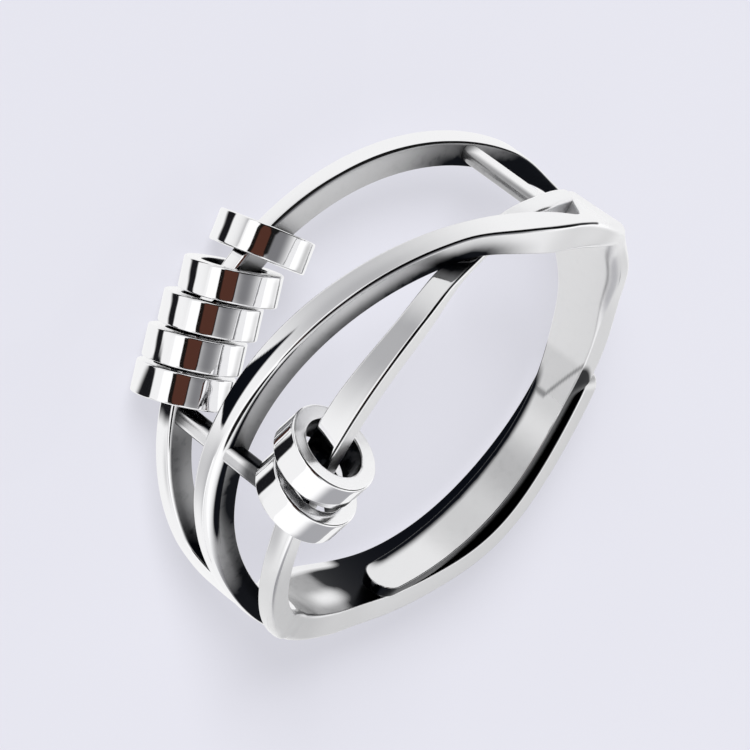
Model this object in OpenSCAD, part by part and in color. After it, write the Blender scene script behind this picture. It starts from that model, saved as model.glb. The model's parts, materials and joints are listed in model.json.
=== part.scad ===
// Spinner ring. Three wires cross over the finger, seven loose rings turn on two of them,
// and the shank is open at the back, where one end slides inside the other to suit the finger.
// Sizes in millimetres. In the ring's own frame the finger goes along Z and the wires are at
// the front, +Y. Angles go round the finger from the front toward the right, +X. The near side
// is +Z. The module rested lays the whole on its side, as it lies on a table, with Z up.

/* [Finger] */
// Outer radius of the wires over the finger
wire_outer_r = 10.15; // [9.8:0.05:11]
// Depth of the wires and of the shank, from outside to inside
wire_depth = 1.0; // [0.8:0.05:1.2]
// How much smaller the circle of the right half is than that of the left half
right_shrink = 0.46; // [0.3:0.02:0.6]

/* [Far wire] */
// Height of its middle over the ring's centre
far_rise = -1.215; // [-1.6:0.005:-0.9]
// Slope of its middle toward the front
far_slope = -0.26; // [-0.32:0.005:-0.22]
// Width at the sides of the finger
far_side_w = 1.07; // [0.8:0.01:1.3]
// Width at the front
far_front_w = 0.664; // [0.5:0.002:0.9]

/* [Middle wire] */
// Height of its middle over the ring's centre
mid_rise = 2.61; // [2.4:0.005:2.8]
// Slope of its middle toward the right
mid_lean = 0.2335; // [0.2:0.0005:0.27]
// Slope of its middle toward the front
mid_slope = -0.2535; // [-0.29:0.0005:-0.22]
// Width at the sides of the finger
mid_side_w = 0.68; // [0.5:0.01:0.9]
// Width at the front
mid_front_w = 1.055; // [0.8:0.005:1.3]

/* [Near wire] */
// Height of its middle over the ring's centre
near_rise = 1.15; // [0.9:0.005:1.4]
// Slope of its middle toward the right
near_lean = -0.0335; // [-0.06:0.0005:0]
// Slope of its middle toward the front
near_slope = 0.2265; // [0.2:0.0005:0.26]
// Width at the sides of the finger
near_side_w = 0.62; // [0.5:0.01:0.8]
// Width at the front
near_front_w = 0.995; // [0.7:0.005:1.1]
// How far its outer face is cut flat where it dips under the middle wire
dip_depth = 0.43; // [0.2:0.01:0.6]
// Where that flat is, from the front toward the right
dip_at = 40; // [34:1:46]

/* [Struts] */
// Angle of the left strut
left_strut_at = -35.2; // [-39:0.1:-33]
// Angle of the right strut
right_strut_at = 61; // [56:0.5:66]
// Width of the left strut, round the finger
left_strut_w = 0.8; // [0.5:0.05:1]
// Width of the right strut, round the finger
right_strut_w = 0.7; // [0.5:0.05:1]
// Depth of the left strut, from outside to inside
left_strut_depth = 0.75; // [0.5:0.05:0.8]
// Depth of the right strut, from outside to inside
right_strut_depth = 0.65; // [0.4:0.05:0.8]
// How far the struts lie under the wires' outer face
strut_set_back = 0.12; // [0.05:0.01:0.2]

/* [Shank] */
// Near face of the outer end
outer_end_near = 1.0; // [0.7:0.05:1.3]
// Far face of the outer end
outer_end_far = -1.3; // [-1.6:0.05:-1]
// Depth of the outer end on its wide left side
outer_end_depth = 0.95; // [0.85:0.05:1.1]
// Angle at which the tip of the outer end stands
outer_tip_at = 151; // [140:1:160]
// Near face of the inner end
inner_end_near = 1.2; // [0.9:0.05:1.5]
// Far face of the inner end
inner_end_far = -0.5; // [-0.8:0.05:-0.3]
// Angle at which the tip of the inner end stands
inner_tip_at = 230; // [215:1:240]
// Gap between the two overlapping ends
end_gap = 0.15; // [0.1:0.01:0.3]
// Corner radius of both tips
tip_corner = 0.6; // [0.3:0.05:0.8]

/* [Spinners] */
// Thickness of a spinner along its axis
spinner_t = 1.2; // [1:0.05:1.4]
// Wall of a spinner, from its hole to its rim
spinner_wall = 0.62; // [0.4:0.02:0.8]
// Room in a spinner's hole round the corners of the thicker wire
spinner_play = 1.0; // [0.95:0.05:1.2]
// Room between the spinners on the far wire
far_gap = 0.2; // [0.15:0.01:0.3]
// Room between the first spinner on the far wire and the next, which leans more
lone_gap = 0.62; // [0.5:0.02:0.8]
// Room between the spinners on the near wire
near_gap = 0.35; // [0.25:0.01:0.5]
// Room between the left strut and the last spinner on the far wire
far_strut_gap = 0.03; // [0:0.01:0.2]
// Room between the left strut and the last one on the near wire, whose face leans over it
near_strut_gap = -0.32; // [-0.35:0.01:-0.2]

/* [Rest] */
// Turn about X that lays the ring on the table
rest_turn_x = 12.38; // [12:0.01:13]
// Turn about Y that lays the ring on the table
rest_turn_y = 0.93; // [0.5:0.01:1.5]
// How far the ring's centre is to the front of the middle of the whole, when it lies down
rest_shift = -0.9; // [-1.5:0.05:0]

/* [Hidden] */
$fn = 144;

silver = [0.86, 0.86, 0.88];
reach = 14;             // past every wall of the ring
lap = 1;                // neighbouring stretches run this many degrees into each other

// A face is a plane, z = height + right * x + front * y, kept as [height, right, front].
// A wire has two, far and near, which part from each other between the front and the sides.
function wire_face(rise, lean, slope, side_w, front_w, way) =
    [rise + way * side_w / 2, lean, slope + way * (front_w - side_w) / 2 / wire_outer_r];
far_wire_far = wire_face(far_rise, 0, far_slope, far_side_w, far_front_w, -1);
far_wire_near = wire_face(far_rise, 0, far_slope, far_side_w, far_front_w, 1);
mid_wire_far = wire_face(mid_rise, mid_lean, mid_slope, mid_side_w, mid_front_w, -1);
mid_wire_near = wire_face(mid_rise, mid_lean, mid_slope, mid_side_w, mid_front_w, 1);
near_wire_far = wire_face(near_rise, near_lean, near_slope, near_side_w, near_front_w, -1);
near_wire_near = wire_face(near_rise, near_lean, near_slope, near_side_w, near_front_w, 1);

// Faces of the shank: the wide band that the wires run into on the right, the web between
// the far and middle wires on the left, and the far side of the outer end's wide part.
band_near = [5.0, -0.23, 0.39];
band_far = [-1.02, -0.055, -0.075];
web_far = [-1.97, 0, 0.124];
left_far = [2.39, 0.446, 0.171];

// Where each stretch round the finger starts or stops.
far_wire_from = -91;
far_wire_to = 103;
mid_wire_from = -97;
mid_wire_to = 68;
near_wire_from = -109;
near_wire_to = 99;
left_band_from = -99;   // the far and middle wires are one band up to here on the left
web_from = -73;         // and only joined by a web from here on
web_to = -55;
crossing_from = 53;     // the near and middle wires have run together on the right
band_from = 101;        // the far wire has joined them
inner_end_from = 152;   // the band becomes the inner end
inner_flat_from = 171;  // and its far face turns level
left_shank_from = 201;  // the outer end is at its widest from here
left_shank_to = 268;

// The tips: full width stops this many degrees before them, and a tongue takes over.
tip_span = 8;
tongue_len = 2.4;

// The outer end's circle lies a little behind the centre, and its inner face to the right.
end_back = 0.2;
end_right = 0.2;

// A spinner's hole clears the corners of the thicker of its two wires.
spinner_bore = norm([wire_depth, max(far_front_w, near_front_w)]) + spinner_play;
spinner_d = spinner_bore + 2 * spinner_wall;
spinner_r = wire_outer_r - wire_depth / 2;

// Which wire a spinner hangs on, and the turn and fall of its axis there.
FAR = 0;
NEAR = 1;
lone_turn = 7.7;
lone_fall = -13.5;
far_turn = 18.3;
far_fall = -17.6;
near_turn = 29.4;
near_fall = 24.6;

function degrees_along(length) = length / spinner_r * 180 / PI;
far_pitch = degrees_along(spinner_t + far_gap);
lone_pitch = degrees_along(spinner_t + lone_gap);
near_pitch = degrees_along(spinner_t + near_gap);
past_strut = (spinner_t + left_strut_w) / 2;
far_last_at = left_strut_at + degrees_along(past_strut + far_strut_gap);
near_last_at = left_strut_at + degrees_along(past_strut + near_strut_gap);

// columns: wire, angle on the wire, turn of the axis toward the front, fall of the axis
SPINNERS = [
    [FAR, far_last_at + 3 * far_pitch + lone_pitch, lone_turn, lone_fall],
    [FAR, far_last_at + 3 * far_pitch, far_turn, far_fall],
    [FAR, far_last_at + 2 * far_pitch, far_turn, far_fall],
    [FAR, far_last_at + far_pitch, far_turn, far_fall],
    [FAR, far_last_at, far_turn, far_fall],
    [NEAR, near_last_at + near_pitch, near_turn, near_fall],
    [NEAR, near_last_at, near_turn, near_fall],
];

// The up row of the turn that lays the ring down, and how high the ring's centre then is:
// the far edge of the outer end, a circle, lies on the table.
up = [-sin(rest_turn_y), sin(rest_turn_x) * cos(rest_turn_y), cos(rest_turn_x) * cos(rest_turn_y)];
rest_lift = wire_outer_r * norm([up.x, up.y]) - up * [0, -end_back, outer_end_far];

function at(angle, r) = [r * sin(angle), r * cos(angle)];
function height(face, p) = face[0] + face[1] * p.x + face[2] * p.y;
function middle(far, near, p) = (height(far, p) + height(near, p)) / 2;

// Radius of the outer face at an angle: the right half has a smaller circle, which touches
// the left one at the front.
function outer_r(angle) =
    angle <= 0 ? wire_outer_r
    : right_shrink * cos(angle)
      + sqrt(pow(wire_outer_r - right_shrink, 2) - pow(right_shrink * sin(angle), 2));

// A half space: everything over a face, as one big block. A way of -1 gives what is under it.
module beyond(face, way) {
    steepest = norm([face[1], face[2]]);
    translate([0, 0, face[0]])
        rotate([0, -atan(steepest), atan2(face[2], face[1])])
            translate([-2 * reach, -2 * reach, way > 0 ? 0 : -reach])
                cube([4 * reach, 4 * reach, reach]);
}

// What lies between two faces.
module between(far, near) {
    intersection() {
        beyond(far, 1);
        beyond(near, -1);
    }
}

// A level slab between two heights.
module level(low, high) {
    translate([-2 * reach, -2 * reach, low])
        cube([4 * reach, 4 * reach, high - low]);
}

// A sector from one angle to another, run a little past both.
module sector(from, to) {
    first = from - lap;
    last = to + lap;
    steps = ceil((last - first) / 30);
    translate([0, 0, -reach])
        linear_extrude(height = 2 * reach)
            polygon(concat([[0, 0]],
                           [for (i = [0:steps]) at(first + (last - first) * i / steps, 2 * reach)]));
}

// A round post of any height about a point to the right and to the front of the centre.
module post(r, right, front) {
    translate([right, front, -reach])
        cylinder(r = r, h = 2 * reach);
}

// The left half of the wires' shell, about the ring's centre.
module left_shell() {
    difference() {
        intersection() {
            post(wire_outer_r, 0, 0);
            translate([-2 * reach, -reach, -reach])
                cube([2 * reach, 2 * reach, 2 * reach]);
        }
        post(wire_outer_r - wire_depth, 0, 0);
    }
}

// The right half, about a point to the front of the centre.
module right_shell() {
    difference() {
        intersection() {
            post(wire_outer_r - right_shrink, 0, right_shrink);
            translate([0, -reach, -reach])
                cube([2 * reach, 2 * reach, 2 * reach]);
        }
        post(wire_outer_r - wire_depth - right_shrink, 0, right_shrink);
    }
}

module front_shell() {
    left_shell();
    right_shell();
}

module far_wire() {
    intersection() {
        front_shell();
        between(far_wire_far, far_wire_near);
        sector(far_wire_from, far_wire_to);
    }
}

module middle_wire() {
    intersection() {
        front_shell();
        between(mid_wire_far, mid_wire_near);
        beyond(band_near, -1);
        sector(mid_wire_from, mid_wire_to);
    }
}

module near_wire() {
    difference() {
        intersection() {
            front_shell();
            between(near_wire_far, near_wire_near);
            sector(near_wire_from, near_wire_to);
        }
        rotate([0, 0, -dip_at])
            translate([-reach, wire_outer_r - dip_depth, -reach])
                cube([2 * reach, reach, 2 * reach]);
    }
}

// The band on the right, from the crossing round to where the inner end starts.
module right_band() {
    intersection() {
        right_shell();
        between(near_wire_far, mid_wire_near);
        beyond(band_near, -1);
        sector(crossing_from, band_from);
    }
    intersection() {
        right_shell();
        between(band_far, band_near);
        sector(band_from, inner_end_from);
    }
}

// The left side, where the far and middle wires run together.
module left_band() {
    intersection() {
        left_shell();
        between(far_wire_far, mid_wire_near);
        sector(left_band_from, web_from);
    }
    intersection() {
        left_shell();
        between(web_far, mid_wire_near);
        sector(web_from, web_to);
    }
}

// A tongue across the band that ends at an angle in two round corners. It comes from smaller
// angles, or from larger ones if it is turned.
module tongue(angle, low, high, turned) {
    h = high - low;
    rotate([0, 0, -angle])
        translate([0, 0, low])
            rotate([90, 0, 180])
                linear_extrude(height = reach)
                    mirror([turned ? 0 : 1, 0]) {
                        translate([-tongue_len, 0]) square([tongue_len - tip_corner, h]);
                        translate([-tongue_len, tip_corner]) square([tongue_len, h - 2 * tip_corner]);
                        translate([-tip_corner, tip_corner]) circle(r = tip_corner);
                        translate([-tip_corner, h - tip_corner]) circle(r = tip_corner);
                    }
}

// The inner end of the shank, which slides inside the outer one.
module inner_end() {
    difference() {
        intersection() {
            post(wire_outer_r - right_shrink, 0, right_shrink);
            post(wire_outer_r - outer_end_depth - end_gap, end_right, -end_back);
            union() {
                intersection() {
                    beyond(band_far, 1);
                    level(-reach, inner_end_near);
                    sector(inner_end_from, inner_flat_from);
                }
                intersection() {
                    level(inner_end_far, inner_end_near);
                    sector(inner_flat_from, inner_tip_at - tip_span);
                }
                tongue(inner_tip_at, inner_end_far, inner_end_near, false);
            }
        }
        post(wire_outer_r - wire_depth - right_shrink, 0, right_shrink);
    }
}

// The outer end of the shank, wide on the left and running down to a tip on the right.
module outer_end() {
    difference() {
        intersection() {
            post(wire_outer_r, 0, -end_back);
            union() {
                intersection() {
                    level(outer_end_far, outer_end_near);
                    sector(outer_tip_at + tip_span, left_shank_to);
                }
                intersection() {
                    beyond(left_far, 1);
                    level(-reach, 0);
                    sector(left_shank_from, left_shank_to);
                }
                tongue(outer_tip_at, outer_end_far, outer_end_near, true);
            }
        }
        post(wire_outer_r - outer_end_depth, end_right, -end_back);
    }
}

// A strut from the middle of the far wire to the middle of the near one.
module strut(angle, w, depth) {
    outer = outer_r(angle) - strut_set_back;
    p = at(angle, outer - depth / 2);
    low = middle(far_wire_far, far_wire_near, p);
    high = middle(near_wire_far, near_wire_near, p);
    rotate([0, 0, -angle])
        translate([-w / 2, outer - depth, low])
            cube([w, depth, high - low]);
}

module ring_shape() {
    union() {
        far_wire();
        middle_wire();
        near_wire();
        right_band();
        left_band();
        inner_end();
        outer_end();
        strut(left_strut_at, left_strut_w, left_strut_depth);
        strut(right_strut_at, right_strut_w, right_strut_depth);
    }
}

// Spinner i at its place on its wire: a short tube, square to its own axis.
module spinner(i) {
    s = SPINNERS[i];
    p = at(s[1], outer_r(s[1]) - wire_depth / 2);
    z = s[0] == FAR ? middle(far_wire_far, far_wire_near, p)
                    : middle(near_wire_far, near_wire_near, p);
    translate([p.x, p.y, z])
        rotate([0, 90 - s[3], s[2]])
            difference() {
                cylinder(d = spinner_d, h = spinner_t, center = true);
                cylinder(d = spinner_bore, h = 2 * spinner_t, center = true);
            }
}

// Lays everything on the table, with its middle over the origin.
module rested() {
    translate([right_shrink / 2, rest_shift, rest_lift])
        rotate([rest_turn_x, rest_turn_y, 0])
            children();
}

module ring_body() {
    color(silver)
        rested()
            ring_shape();
}

module spinner_far_1() {
    color(silver)
        rested()
            spinner(0);
}

module spinner_far_2() {
    color(silver)
        rested()
            spinner(1);
}

module spinner_far_3() {
    color(silver)
        rested()
            spinner(2);
}

module spinner_far_4() {
    color(silver)
        rested()
            spinner(3);
}

module spinner_far_5() {
    color(silver)
        rested()
            spinner(4);
}

module spinner_near_1() {
    color(silver)
        rested()
            spinner(5);
}

module spinner_near_2() {
    color(silver)
        rested()
            spinner(6);
}

ring_body();
spinner_far_1();
spinner_far_2();
spinner_far_3();
spinner_far_4();
spinner_far_5();
spinner_near_1();
spinner_near_2();
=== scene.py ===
# %% [markdown]
# # A spinner ring on a pale table
#
# The object is an open finger ring of polished silver. Three wires cross over the finger, two
# struts hold them apart, and seven small loose rings turn on two of the wires. At the back the
# shank is open, and its inner end slides inside the outer one.
#
# The construction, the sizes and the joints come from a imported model, which loads as a fixed
# frame. This file gives that frame its looks: every wire is made again as a smooth surface with
# rounded edges, because polished metal shows each facet and each hard edge in its reflections.

import json
import math

import bpy
import numpy as np
from mathutils import Matrix, Vector


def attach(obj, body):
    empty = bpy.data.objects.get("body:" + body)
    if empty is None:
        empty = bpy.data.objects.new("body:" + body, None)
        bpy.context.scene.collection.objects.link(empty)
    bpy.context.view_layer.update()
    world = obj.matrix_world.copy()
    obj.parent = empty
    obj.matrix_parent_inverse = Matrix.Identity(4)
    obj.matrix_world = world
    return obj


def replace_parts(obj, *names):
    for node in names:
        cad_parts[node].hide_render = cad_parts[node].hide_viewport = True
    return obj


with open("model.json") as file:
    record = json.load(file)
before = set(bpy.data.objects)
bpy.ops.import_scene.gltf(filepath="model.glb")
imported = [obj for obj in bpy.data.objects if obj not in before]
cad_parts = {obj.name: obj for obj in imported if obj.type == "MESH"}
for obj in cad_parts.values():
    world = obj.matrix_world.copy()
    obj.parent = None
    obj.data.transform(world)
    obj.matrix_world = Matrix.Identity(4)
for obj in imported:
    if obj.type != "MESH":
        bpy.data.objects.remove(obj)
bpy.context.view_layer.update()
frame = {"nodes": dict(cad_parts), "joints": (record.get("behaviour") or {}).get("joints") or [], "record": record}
print("nodes of the frame:", sorted(frame["nodes"]))

# %% [markdown]
# ## Two frames of reference
#
# The ring is easiest to think of in its own frame: the finger goes along Z, the wires are at
# the front, +Y, and an angle goes round the finger from the front toward the right, +X. The
# table's frame is the one of the scene, where the ring lies tipped on its side. Shapes are
# worked out in millimetres in the ring's frame and are then laid down with one turn and one
# move, the same as in the construction.

# %% From the ring's frame to the table
MM = 0.001
REST_TURN_X = math.radians(12.38)
REST_TURN_Y = math.radians(0.93)
hub = np.array(frame["record"]["mounts"][0]["pos_m"])


def turn_about(axis, angle):
    """The matrix that turns by an angle about X (0), Y (1) or Z (2): cosines on the diagonal,
    the sine and its opposite beside it."""
    c, s = math.cos(angle), math.sin(angle)
    turn = np.eye(3)
    i, j = [(1, 2), (2, 0), (0, 1)][axis]
    turn[i, i], turn[i, j], turn[j, i], turn[j, j] = c, -s, s, c
    return turn


LAY_DOWN = turn_about(1, REST_TURN_Y) @ turn_about(0, REST_TURN_X)


def laid_down(points):
    """Points of the ring's frame, in millimetres, as points of the scene, in metres."""
    return np.asarray(points) @ LAY_DOWN.T * MM + hub


def direction(vector):
    """A direction of the ring's frame as a unit vector of the scene."""
    v = LAY_DOWN @ np.asarray(vector, float)
    return v / np.linalg.norm(v)


print("the finger's way in the scene:", direction((0, 0, 1)).round(3))

# %% [markdown]
# ## The camera
#
# The photograph was taken from the front, 29 degrees above the plane of the ring, with a long
# lens and the camera rolled far to one side. A long lens keeps the near and the far wires at
# nearly the same scale. The camera is placed by two angles and by where the ring's centre
# falls in its view.

# %% Camera
VIEW_RISE = math.radians(29.0)
VIEW_ROLL = math.radians(52.7)
VIEW_DISTANCE = 195.5
CENTRE_RIGHT, CENTRE_UP = 1.562, -0.885
LENS_MM = 253.4
NEAREST_M, FARTHEST_M = 0.005, 5

back = np.array([0, math.cos(VIEW_RISE), math.sin(VIEW_RISE)])
side = np.array([0, -math.sin(VIEW_RISE), math.cos(VIEW_RISE)])
right = math.cos(VIEW_ROLL) * np.array([1, 0, 0]) + math.sin(VIEW_ROLL) * side
up = math.sin(VIEW_ROLL) * np.array([1, 0, 0]) - math.cos(VIEW_ROLL) * side
camera_at = VIEW_DISTANCE * back - CENTRE_RIGHT * right - CENTRE_UP * up

camera = bpy.data.objects.new("camera", bpy.data.cameras.new("camera"))
bpy.context.scene.collection.objects.link(camera)
camera.data.lens = LENS_MM
camera.data.clip_start = NEAREST_M
camera.data.clip_end = FARTHEST_M
pose = np.eye(4)
pose[:3, 0], pose[:3, 1], pose[:3, 2] = direction(right), direction(up), direction(back)
pose[:3, 3] = laid_down(camera_at)
camera.matrix_world = Matrix(pose.tolist())
bpy.context.scene.camera = camera
rise = math.degrees(math.asin(direction(back)[2]))
print(f"the camera looks down at the table by {rise:.1f} degrees")

# %% [markdown]
# ## Curves through a few chosen points
#
# Most edges of the wires are flat cuts through a round tube, so their height follows from a
# plane. Where the wires run together into the shank, the edges were drawn by a goldsmith's
# hand, and a smooth curve through a few points follows them better. A cubic spline bends as
# little as it can between its points, so a mirror finish shows no kink there.
#
# Three smaller helpers say where something happens: a ramp, a bump and a stretch. They all use
# the same S-shaped ramp, whose slope and bend are zero at both ends.


# %% Smooth curves
def spline(points):
    """A natural cubic spline through (x, y) points. Its bend is zero at both ends, and inside
    the bends solve one linear system, so that the slopes agree at every point."""
    x, y = np.array(sorted(points), float).T
    h = np.diff(x)
    n = len(x)
    system = np.eye(n)
    pull = np.zeros(n)
    inner = np.arange(1, n - 1)
    system[inner, inner - 1] = h[:-1]
    system[inner, inner] = 2 * (h[:-1] + h[1:])
    system[inner, inner + 1] = h[1:]
    slopes = np.diff(y) / h
    pull[inner] = 6 * np.diff(slopes)
    bend = np.linalg.solve(system, pull)

    def curve(at):
        """Two straight shares of the heights, and two cubes for the bends, between the points
        on both sides. Past the ends it keeps the last height."""
        at = np.clip(np.asarray(at, float), x[0], x[-1])
        i = np.clip(np.searchsorted(x, at) - 1, 0, n - 2)
        a, b, w = x[i + 1] - at, at - x[i], h[i]
        cubic = (bend[i] * a**3 + bend[i + 1] * b**3) / (6 * w)
        return cubic + (y[i] / w - bend[i] * w / 6) * a + (y[i + 1] / w - bend[i + 1] * w / 6) * b

    return curve


def ease(x, start, stop):
    """0 before start and 1 after stop. Between them, with t from 0 to 1, it is six times the
    fifth power of t, less fifteen times the fourth, plus ten times the third."""
    t = np.clip((np.asarray(x, float) - start) / (stop - start), 0, 1)
    return t * t * t * (t * (6 * t - 15) + 10)


def bump(x, middle, reach):
    """1 at the middle, smoothly down to 0 at reach on both sides."""
    return 1 - ease(np.abs(np.asarray(x, float) - middle), 0, reach)


def stretch(x, start, full, fading, stop):
    """Smoothly up from 0 to 1 between start and full, and down again between fading and stop."""
    return ease(x, start, full) * (1 - ease(x, fading, stop))


arch = spline([(0, 0), (1, 1), (2, 0)])
print(f"a spline through (0, 0), (1, 1) and (2, 0) is {arch(0.5):.4f} high at 0.5")

# %% [markdown]
# ## The wires' own sizes
#
# A wire lies between two planes, far and near, and between an inner and an outer wall. The
# left half of the ring follows one circle. The right half follows a circle that is a little
# smaller and touches the first at the front. These are the numbers of the construction.

# %% Sizes of the ring
OUTER_R = 10.15
DEPTH = 1.0
RIGHT_SHRINK = 0.46
FAR_FACE, NEAR_FACE = 0, 1


def wire_faces(height, lean, slope, side_width, front_width):
    """The far and the near face of a wire. Each is a plane, its height plus lean times x plus
    slope times y, and they stand side_width apart at the sides and front_width at the front."""
    return [(height + way * side_width / 2, lean,
             slope + way * (front_width - side_width) / 2 / OUTER_R) for way in (-1, 1)]


FAR_WIRE = wire_faces(-1.215, 0, -0.26, 1.07, 0.664)
MID_WIRE = wire_faces(2.61, 0.2335, -0.2535, 0.68, 1.055)
NEAR_WIRE = wire_faces(1.15, -0.0335, 0.2265, 0.62, 0.995)


def right_circle(angle, radius):
    """Distance from the finger's middle to a circle whose own middle lies RIGHT_SHRINK to the
    front. By the law of cosines it is that shift along the way, plus the root of the radius
    squared less the shift across the way squared."""
    a = np.radians(angle)
    return RIGHT_SHRINK * np.cos(a) + np.sqrt(radius**2 - (RIGHT_SHRINK * np.sin(a)) ** 2)


def outer_radius(angle):
    """Distance from the finger's middle to the outer wall."""
    on_right = right_circle(angle, OUTER_R - RIGHT_SHRINK)
    return np.where(np.sin(np.radians(angle)) <= 0, OUTER_R, on_right)


def inner_radius(angle):
    """Distance from the finger's middle to the inner wall."""
    on_right = right_circle(angle, OUTER_R - DEPTH - RIGHT_SHRINK)
    return np.where(angle <= 0, OUTER_R - DEPTH, on_right)


def plane_height(plane, angle, radius):
    """Height of a plane at an angle and a radius: x is the radius times the sine, and y is the
    radius times the cosine."""
    a = np.radians(angle)
    return plane[0] + radius * (plane[1] * np.sin(a) + plane[2] * np.cos(a))


print("outer radius at the front, right and back:", outer_radius(np.array([0, 90, 179])).round(2))

# %% [markdown]
# ## A strip of metal, bent round the finger
#
# Every part of the ring body is a strip whose cross-section is a rectangle with rounded corners
# and faces that bulge a little, as filing and polishing leave them. The strip is a grid: one
# way goes along the finger's circle, the other goes round the section. Whole arrays give all
# the points at once. A box with a Bevel modifier could do this too, but the edges would meet
# at the junctions in ways that a mirror finish shows.

# %% Cross-section
ARC_STEPS = 11
FACE_STEPS = 21
CORNERS = [(1, 0, -90), (1, 1, 0), (0, 1, 90), (0, 0, 180)]


def section(face_steps=FACE_STEPS):
    """Points round a rectangle with rounded corners. Every point has: across and along (0 to 1
    from inner to outer and from far to near), the outward direction there, how much the face
    bulges there, the way it looks in degrees (0 outward, 90 near, 180 inward, 270 far) and its
    share in the radius of each of the four corners. A corner's points have the cosine and the
    sine of their angle as direction. The bulge is 1 less the squared offset from the face's
    middle, squared again."""
    rows, shares = [], []
    for k, (p, q, start) in enumerate(CORNERS):
        for t in np.linspace(start, start + 90, ARC_STEPS):
            rows.append((p, q, math.cos(math.radians(t)), math.sin(math.radians(t)), 0, t % 360))
            shares.append(np.eye(4)[k])
        p2, q2, _ = CORNERS[(k + 1) % 4]
        look = (start + 90) % 360
        out, near = round(math.cos(math.radians(look))), round(math.sin(math.radians(look)))
        for s in np.arange(1, face_steps + 1) / (face_steps + 1):
            bulge = (1 - (2 * s - 1) ** 2) ** 2
            rows.append((p + (p2 - p) * s, q + (q2 - q) * s, out, near, bulge, look))
            shares.append((1 - s) * np.eye(4)[k] + s * np.eye(4)[(k + 1) % 4])
    return [*np.array(rows).T, np.array(shares)]


print("points round a strip's section:", len(section()[0]))

# %% [markdown]
# The mesh itself is built by a few helpers. They join the grid's rows and columns into quads, turn all faces
# outwards and close each end with one face. The mesh also stores two numbers for each point. The first is how dark
# the metal is: a ring like this one is blackened in its recesses before it is polished, and the same number also
# carries painted shade and painted reflections. The second is how matt it is, because the wheel reaches the
# outside but the flat faces between the wires are only finished by hand.


# %% Meshes from grids
def grid_faces(rows, columns, closed_rows):
    """Quads of a grid whose columns always close on themselves, and whose rows may. A point's
    number is its row times the number of columns, plus its column."""
    r = np.arange(rows if closed_rows else rows - 1)[:, None]
    c = np.arange(columns)[None, :]
    r2, c2 = (r + 1) % rows, (c + 1) % columns
    quads = np.stack([r * columns + c, r2 * columns + c, r2 * columns + c2, r * columns + c2], -1)
    return quads.reshape(-1, 4)


def outward(points, quads):
    """The quads, turned round if they enclose a negative volume: the sum, over the two
    triangles of each quad, of one corner times the cross product of the other two."""
    a, b, c, d = (points[quads[:, k]] for k in range(4))
    volume = np.einsum("ij,ij->", a, np.cross(b, c)) + np.einsum("ij,ij->", a, np.cross(c, d))
    return (quads, False) if volume > 0 else (quads[:, ::-1], True)


def capped_faces(points, rows, columns):
    """All faces of an open strip: its quads, and one face over each end."""
    quads, turned = outward(points, grid_faces(rows, columns, False))
    ends = [list(range(columns)), list(range((rows - 1) * columns, rows * columns))]
    ends[0 if turned else 1].reverse()
    return quads.tolist() + ends


def mesh_piece(name, points, faces, finish, body):
    """A smooth-shaded silver piece in the scene. finish is how dark each point is, from patina and from painted
    shade and reflections, and how matt it is, both from 0 to 1."""
    mesh = bpy.data.meshes.new(name)
    mesh.from_pydata(laid_down(points).tolist(), [], faces)
    mesh.validate()
    mesh.polygons.foreach_set("use_smooth", np.ones(len(mesh.polygons), bool))
    # The first number is the dark value: patina, and also painted shade and painted reflections.
    for key, values in zip(("patina_and_painted_shade", "matt"), finish):
        layer = mesh.attributes.new(key, "FLOAT", "POINT")
        layer.data.foreach_set("value", np.clip(values, 0, 1).ravel().astype(np.float32))
    mesh.materials.append(silver)
    mesh.update()
    piece = bpy.data.objects.new(name, mesh)
    bpy.context.scene.collection.objects.link(piece)
    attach(piece, body)
    return piece


print("quads of a closed grid of 3 by 4 points:", len(grid_faces(3, 4, True)))

# %% [markdown]
# ## Silver
#
# Sterling silver is nearly white and reflects almost all light. What makes it look real is what it reflects, so
# the surface stays simple: a metal with very little roughness, faint waves left by polishing, and a dark colour
# wherever the dark value is high. That value is the real patina, and also painted shade and painted reflections:
# dark lines and a crescent along the wires' edges, shade under the middle wire and in the slit, and a grey shade
# down the left side. The dark colour is a metal too, almost black with a breath of blue, and duller than the
# polished parts. Its rim is broken up by noise, as it is where a polishing wheel stops short of a corner. Where
# the matt value is high, the metal is at least as rough as a hand finish leaves it.


# %% Material helpers
def new_material(name):
    """A node material with its shader."""
    material = bpy.data.materials.new(name)
    material.use_nodes = True
    nodes = material.node_tree.nodes
    return material, nodes, material.node_tree.links, nodes["Principled BSDF"]


def add(nodes, kind, **values):
    """A new node with inputs and settings given by name."""
    node = nodes.new(kind)
    for key, value in values.items():
        if key in node.inputs:
            node.inputs[key].default_value = value
        else:
            setattr(node, key.lower(), value)
    return node


def maths(nodes, links, operation, *terms, clamp=False):
    """The result of a maths node, whose terms are numbers or results of other nodes."""
    node = add(nodes, "ShaderNodeMath", operation=operation, use_clamp=clamp)
    for socket, term in zip(node.inputs, terms):
        if isinstance(term, bpy.types.NodeSocket):
            links.new(term, socket)
        else:
            socket.default_value = term
    return node.outputs["Value"]


print("helpers ready for Blender", bpy.app.version_string)

# %% Silver
SILVER = (0.93, 0.93, 0.94, 1)
# This dark colour serves the real patina and also the painted shade and painted reflections.
PATINA_AND_PAINTED_SHADE = (0.004, 0.005, 0.008, 1)
POLISHED_ROUGHNESS = 0.05
DARK_ROUGHNESS = 0.3
MATT_ROUGHNESS = 0.42
DARK_DEPTH = 1.15
RAGGED_BY = 0.3
GRAIN_MM = 0.35
WAVE_MM = 2.2
WAVE_DEPTH_MM = 0.004


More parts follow.
